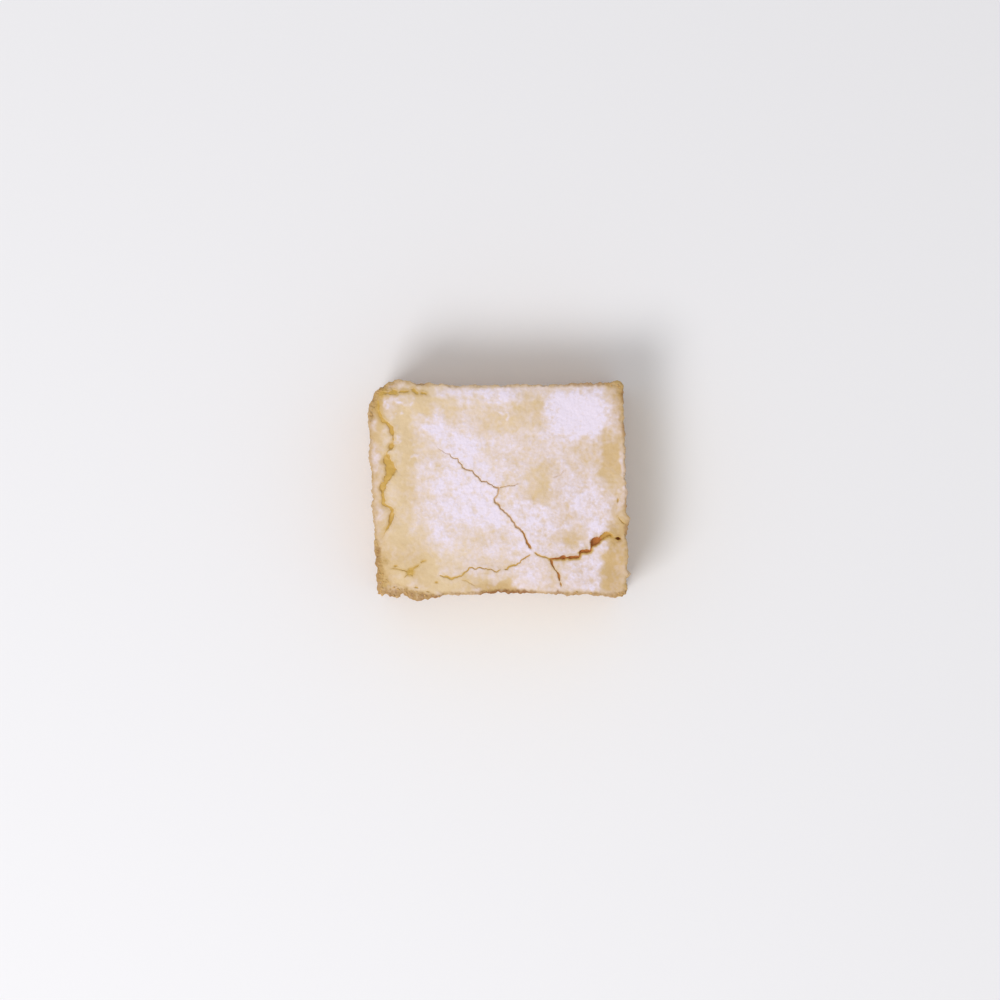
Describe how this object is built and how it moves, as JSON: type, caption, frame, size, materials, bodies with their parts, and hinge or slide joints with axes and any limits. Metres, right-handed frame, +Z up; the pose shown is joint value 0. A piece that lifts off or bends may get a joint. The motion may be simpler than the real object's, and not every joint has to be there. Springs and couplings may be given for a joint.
{
  "type": "lemon bar",
  "caption": "Rectangular lemon bar from the corner of a pan: shortbread base under a lemon filling with a cracked, sugar-dusted baked skin.",
  "frame": {"origin": "middle of the underside, on the surface that the bar rests on", "axes": "+X along the bar's long side, +Y across it towards the back cut in the picture, +Z up through the sugared skin"},
  "size_m": [0.0677, 0.0573, 0.0226],
  "materials": {
    "shortbread": "dry crumbly baked shortbread, matt",
    "lemon_filling": "set lemon custard under a dry cream-coloured skin with powdered sugar"
  },
  "bodies": {
    "root": {"shortbread_base": "shortbread", "lemon_filling": "lemon_filling"}
  },
  "joints": []
}
